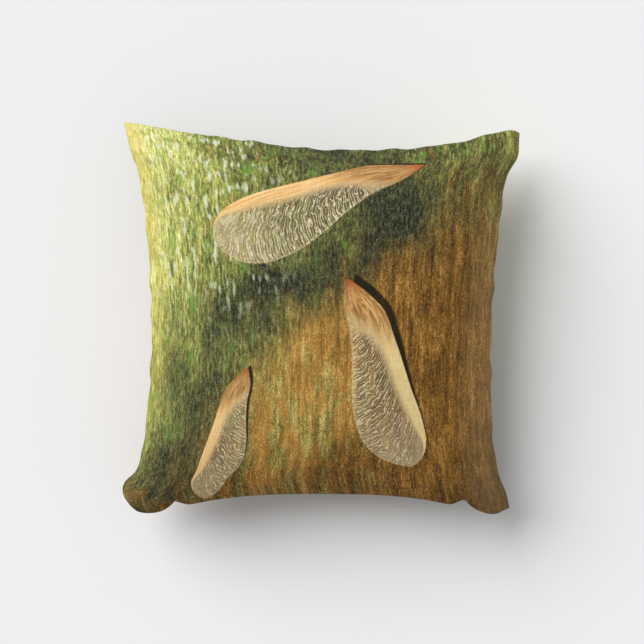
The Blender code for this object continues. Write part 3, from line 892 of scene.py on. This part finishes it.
def printed_cloth(groups, settings):
    """The cover's cloth: the bark, each seed with its shadow, and the weave over all of it."""
    material, graph, shader = new_surface("printed_cloth", 0.9, **{"Specular IOR Level": 0.12})
    flat = graph.node("ShaderNodeUVMap", uv_map="cloth").outputs[0]
    centred = graph.node("ShaderNodeVectorMath", (flat, (0.5, 0.5, 0)), operation="SUBTRACT").outputs[0]
    place = stretched(graph, centred, PRINT_SIZE)
    colour = use(graph, groups["bark"], Place=place)["Colour"]
    for seed in SEEDS:
        printed = use(graph, groups["seed"], Place=place, **seed)
        shadow = graph.times(printed["Shadow"], SHADOW_STRENGTH)
        colour = graph.colour(shadow, colour, tint(26, 24, 18))
        colour = graph.colour(printed["Cover"], colour, printed["Colour"])
    weave = use(graph, groups["weave"], Place=place, Pitch=settings.weave_pitch / MM)
    # The weave's shade darkens the print: the slubs' tone and painted shade of the threads' relief.
    colour = graph.colour(1.0, colour, weave["Shade"], "MULTIPLY")
    graph.feed(shader, "Base Color", colour)
    bump(graph, shader, weave["Height"], 0.06 * MM)
    return material


def woven_surface(groups, name, colour, pitch, roughness):
    """A plain woven surface on the object's own places."""
    material, graph, shader = new_surface(name, roughness)
    weave = use(graph, groups["weave"], Place=own_place(graph), Pitch=pitch)
    # The weave's shade: the slubs' tone and painted shade of the threads' relief.
    toned = graph.colour(1.0, colour, weave["Shade"], "MULTIPLY")
    graph.feed(shader, "Base Color", toned)
    bump(graph, shader, weave["Height"], 0.1 * MM)
    return material


def mottled_group():
    """Slow and fine changes of tone, for plastic, metal and fibre."""
    graph, start, end = new_group(
        "mottle", {"Place": "Vector", "Size": "Float"}, {"Slow": "Float", "Fine": "Float"},
    )
    slow = graph.noise(start["Place"], graph.over(1.0, start["Size"]), 2.0)
    fine = graph.noise(start["Place"], graph.over(7.0, start["Size"]), 3.0, 0.65)
    return close_group(graph, end, Slow=slow, Fine=fine)


def mottled_surface(groups, name, dark, light, size, roughness, metallic=0.0, height=0.02):
    """A surface whose tone and gloss drift: between two colours, over places of this size in millimetres."""
    material, graph, shader = new_surface(name, roughness, Metallic=metallic)
    mottle = use(graph, groups["mottle"], Place=own_place(graph), Size=size)
    graph.feed(shader, "Base Color", graph.colour(mottle["Slow"], dark, light))
    gloss = graph.line(graph.minus(mottle["Fine"], 0.5), 0.3, roughness, clamp=True)
    graph.feed(shader, "Roughness", gloss)
    bump(graph, shader, mottle["Fine"], height * MM)
    return material


GROUPS = {}


def shared_groups():
    """The shader node groups, made once."""
    makers = {
        "weave": weave_group, "seed": winged_seed_group, "bark": mossy_bark_group, "mottle": mottled_group,
    }
    for name, make in makers.items():
        if name not in GROUPS:
            GROUPS[name] = make()
    return GROUPS


# New pieces, and finer copies of the solids with softened edges.
WELD = 0.002 * MM
FLAT_ANGLE = math.radians(1)
SHARP_ANGLE = math.radians(35)


def new_piece(name, work, material):
    """Ends a bmesh as a smooth object in the scene."""
    mesh = bpy.data.meshes.new(name)
    work.to_mesh(mesh)
    work.free()
    mesh.materials.append(material)
    mesh.shade_smooth()
    piece = bpy.data.objects.new(name, mesh)
    bpy.context.scene.collection.objects.link(piece)
    return piece


def softened(node, body, radius, material):
    """A copy of a solid with rounded edges, which stands for it."""
    source = bpy.data.objects[node]
    work = bmesh.new()
    work.from_mesh(source.data)
    bmesh.ops.transform(work, matrix=source.matrix_world, verts=work.verts)
    bmesh.ops.remove_doubles(work, verts=work.verts, dist=WELD)
    bmesh.ops.recalc_face_normals(work, faces=work.faces)
    bmesh.ops.dissolve_limit(
        work, angle_limit=FLAT_ANGLE, use_dissolve_boundaries=False, verts=work.verts, edges=work.edges,
    )
    sharp = [edge for edge in work.edges if edge.is_manifold and edge.calc_face_angle() > SHARP_ANGLE]
    bmesh.ops.bevel(
        work, geom=sharp, offset=radius, segments=2, profile=0.5, affect="EDGES", material=-1,
        clamp_overlap=True,
    )
    piece = new_piece(node + "_soft", work, material)
    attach(piece, body)
    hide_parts(node)
    return piece


def seam_thread(material):
    """The lockstitch that joins the panels, a little inside the seam on the sides that have no zip."""
    course = []
    for places, phase in ((RIGHT_SIDE, RIGHT_PHASE), (FAR_SIDE, FAR_PHASE), (LEFT_SIDE, LEFT_PHASE)):
        side = Line(curve_through(places))
        for index in range(COURSE_STEPS + 1):
            share = index / COURSE_STEPS
            course.append(pucker(side.at(share), share, phase, SEAM_THREAD_INSET))
    line = Line(course)
    work = bmesh.new()
    rings = []
    for step in range(SEAM_THREAD_STEPS + 1):
        share = SEAM_THREAD_END + (1 - 2 * SEAM_THREAD_END) * step / SEAM_THREAD_STEPS
        point = line.at(share)
        ahead = (line.at(share + SEAM_THREAD_LOOK) - line.at(share - SEAM_THREAD_LOOK)).normalized()
        inward = (CENTRE - point).normalized()
        aside = ahead.cross(Vector((0, 0, 1))).normalized()
        if aside.dot(inward) < 0:
            aside.negate()
        middle = point + aside * SEAM_THREAD_INSET
        up = aside.cross(ahead).normalized()
        verts = []
        for corner in range(SEAM_THREAD_CORNERS):
            angle = 2 * math.pi * corner / SEAM_THREAD_CORNERS
            out = aside * math.cos(angle) + up * math.sin(angle)
            verts.append(work.verts.new(middle + SEAM_THREAD_RADIUS * out))
        rings.append(verts)
    for first, second in zip(rings, rings[1:]):
        for corner in range(SEAM_THREAD_CORNERS):
            after = (corner + 1) % SEAM_THREAD_CORNERS
            work.faces.new((first[corner], first[after], second[after], second[corner]))
    work.faces.new(rings[0])
    work.faces.new(rings[-1])
    bmesh.ops.recalc_face_normals(work, faces=work.faces)
    piece = new_piece("cover_seam_thread", work, material)
    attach(piece, "pillow")
    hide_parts("cover_seam_needle_thread", "cover_seam_bobbin_thread")
    return piece


def paint(node, material):
    """Gives a solid its material."""
    solid = bpy.data.objects[node]
    if not solid.material_slots:
        raise RuntimeError(node + " has no material slot")
    for slot in solid.material_slots:
        slot.material = material


# Operators.


class PillowZipSettings(bpy.types.PropertyGroup):
    tape_colour: bpy.props.FloatVectorProperty(
        name="Tape colour", description="Colour of the zip's tapes and teeth",
        default=tint(96, 84, 52), size=4, min=0, max=1, subtype="COLOR",
    )
    edge: bpy.props.FloatProperty(
        name="Edge radius", description="Rounding of the slider's and tab's edges",
        default=0.14 * MM, min=0.02 * MM, max=0.3 * MM, unit="LENGTH", precision=5,
    )


class PillowInsertSettings(bpy.types.PropertyGroup):
    cloth_colour: bpy.props.FloatVectorProperty(
        name="Cloth colour", description="Colour of the insert's plain cloth",
        default=tint(236, 234, 226), size=4, min=0, max=1, subtype="COLOR",
    )


class PillowStageSettings(bpy.types.PropertyGroup):
    ambient: bpy.props.FloatProperty(
        name="Ambient light", description="Strength of the light from all round",
        default=0.43, min=0, max=5,
    )
    sun: bpy.props.FloatProperty(
        name="Key light", description="Strength of the light from the upper left",
        default=3.2, min=0, max=20,
    )
    softness: bpy.props.FloatProperty(
        name="Softness", description="How wide the key light is",
        default=math.radians(50), min=0, max=math.pi, subtype="ANGLE",
    )
    floor_size: bpy.props.FloatProperty(
        name="Floor size", description="Width of the floor", default=8.0, min=1, max=40, unit="LENGTH",
    )


class PILLOW_OT_cover(bpy.types.Operator):
    """Sews and fills the printed cover"""

    bl_idname = "pillow.cover"
    bl_label = "Cover"

    def execute(self, context):
        settings = context.scene.pillow_cover
        groups = shared_groups()
        cover = build_cover(settings)
        rest_on_floor(cover)
        groove_seam(cover)
        open_zip_side(cover)
        soften(cover)
        material = printed_cloth(groups, settings)
        cover.data.materials.append(material)
        for face in cover.data.polygons:
            face.material_index = 0
        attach(cover, "pillow")
        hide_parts("cover_front_panel", "cover_back_panel")
        thread = woven_surface(groups, "cover_thread", THREAD_TINT, 0.3, 0.7)
        seam_thread(thread)
        return {"FINISHED"}


class PILLOW_OT_zip(bpy.types.Operator):
    """Finishes the concealed zip: tapes, teeth, stops, slider and tab"""

    bl_idname = "pillow.zip"
    bl_label = "Zip"

    def execute(self, context):
        settings = context.scene.pillow_zip
        groups = shared_groups()
        colour = tuple(settings.tape_colour)
        tape = woven_surface(groups, "zip_tape_weave", colour, 0.5, 0.8)
        darker = tuple(0.7 * value for value in colour[:3]) + (1.0,)
        nylon = mottled_surface(groups, "zip_nylon", darker, colour, 1.2, 0.42)
        metal = mottled_surface(
            groups, "zip_metal_satin", tint(116, 98, 70), tint(166, 144, 106), 1.6, 0.34, metallic=1.0,
            height=0.01,
        )
        thread = woven_surface(groups, "zip_thread", THREAD_TINT, 0.3, 0.7)
        for side in ("upper", "lower"):
            paint("zip_tape_" + side, tape)
            paint("zip_stitching_" + side, thread)
            softened("zip_teeth_" + side, "pillow", settings.edge, nylon)
            paint("zip_top_stop_" + side, metal)
        paint("zip_bottom_stop", metal)
        softened("zip_slider", "slider", settings.edge, metal)
        softened("zip_pull_tab", "pull_tab", settings.edge, metal)
        return {"FINISHED"}


class PILLOW_OT_insert(bpy.types.Operator):
    """Finishes the insert: its case, seam and fibre filling"""

    bl_idname = "pillow.insert"
    bl_label = "Insert"

    def execute(self, context):
        settings = context.scene.pillow_insert
        groups = shared_groups()
        colour = tuple(settings.cloth_colour)
        case = woven_surface(groups, "insert_cloth_weave", colour, 0.6, 0.9)
        thread = woven_surface(groups, "insert_thread", tint(240, 238, 232), 0.3, 0.7)
        fibre = mottled_surface(
            groups, "filling_fibre", tint(222, 222, 218), tint(250, 250, 248), 14.0, 0.95, height=2.0,
        )
        paint("insert_front_panel", case)
        paint("insert_back_panel", case)
        paint("insert_seam_thread", thread)
        paint("insert_filling", fibre)
        return {"FINISHED"}


# The studio: the floor's tone, where the key light stands, and the camera straight above.
FLOOR_TONE = 0.82
KEY_FROM = (-0.66, 0.58, 0.7)
SENSOR_WIDTH = 36
VIEW_DISTANCE = 1.4
VIEW_END = 50
VIEW_WIDTH = 0.631
VIEW_X = 1.0 * MM
VIEW_Y = -5.4 * MM


class PILLOW_OT_stage(bpy.types.Operator):
    """Sets the pale floor, the soft light and the camera"""

    bl_idname = "pillow.stage"
    bl_label = "Stage"

    def execute(self, context):
        settings = context.scene.pillow_stage
        scene = context.scene
        paper, _, shader = new_surface("studio_paper", 0.9)
        shader.inputs["Base Color"].default_value = (FLOOR_TONE, FLOOR_TONE, FLOOR_TONE, 1)
        shader.inputs["Specular IOR Level"].default_value = 0.0
        work = bmesh.new()
        bmesh.ops.create_grid(work, x_segments=1, y_segments=1, size=settings.floor_size / 2)
        floor = new_piece("studio_floor", work, paper)

        world = bpy.data.worlds.new("studio")
        world.use_nodes = True
        background = world.node_tree.nodes["Background"].inputs
        background["Color"].default_value = (1, 1, 1, 1)
        background["Strength"].default_value = settings.ambient
        scene.world = world

        light = bpy.data.lights.new("studio_key", "SUN")
        light.energy = settings.sun
        light.angle = settings.softness
        key = bpy.data.objects.new("studio_key", light)
        key.rotation_euler = Vector(KEY_FROM).to_track_quat("Z", "Y").to_euler()
        scene.collection.objects.link(key)

        lens = bpy.data.cameras.new("camera")
        lens.sensor_width = SENSOR_WIDTH
        lens.lens = SENSOR_WIDTH * VIEW_DISTANCE / VIEW_WIDTH
        lens.clip_end = VIEW_END
        camera = bpy.data.objects.new("camera", lens)
        camera.location = (VIEW_X, VIEW_Y, LEVEL * MM + VIEW_DISTANCE)
        scene.collection.objects.link(camera)
        scene.camera = camera
        scene.view_settings.view_transform = "Standard"
        return {"FINISHED"}


class PILLOW_PT_panel(bpy.types.Panel):
    """The pillow's pieces"""

    bl_label = "Throw Pillow"
    bl_space_type = "VIEW_3D"
    bl_region_type = "UI"
    bl_category = "Pillow"

    def draw(self, context):
        for group, operator in STEPS:
            box = self.layout.box()
            settings = getattr(context.scene, group)
            for name in settings.bl_rna.properties.keys():
                if name not in ("rna_type", "name"):
                    box.prop(settings, name)
            box.operator(operator.bl_idname)


STEPS = [
    ("pillow_cover", PILLOW_OT_cover),
    ("pillow_zip", PILLOW_OT_zip),
    ("pillow_insert", PILLOW_OT_insert),
    ("pillow_stage", PILLOW_OT_stage),
]
SETTINGS = {
    "pillow_cover": PillowCoverSettings,
    "pillow_zip": PillowZipSettings,
    "pillow_insert": PillowInsertSettings,
    "pillow_stage": PillowStageSettings,
}
CLASSES = [*SETTINGS.values(), *(operator for _, operator in STEPS), PILLOW_PT_panel]


def register():
    for cls in CLASSES:
        bpy.utils.register_class(cls)
    for name, cls in SETTINGS.items():
        setattr(bpy.types.Scene, name, bpy.props.PointerProperty(type=cls))


def unregister():
    for name in SETTINGS:
        delattr(bpy.types.Scene, name)
    for cls in reversed(CLASSES):
        bpy.utils.unregister_class(cls)


def main():
    register()
    bpy.ops.pillow.cover()
    bpy.ops.pillow.zip()
    bpy.ops.pillow.insert()
    bpy.ops.pillow.stage()


if __name__ == "__main__":
    main()
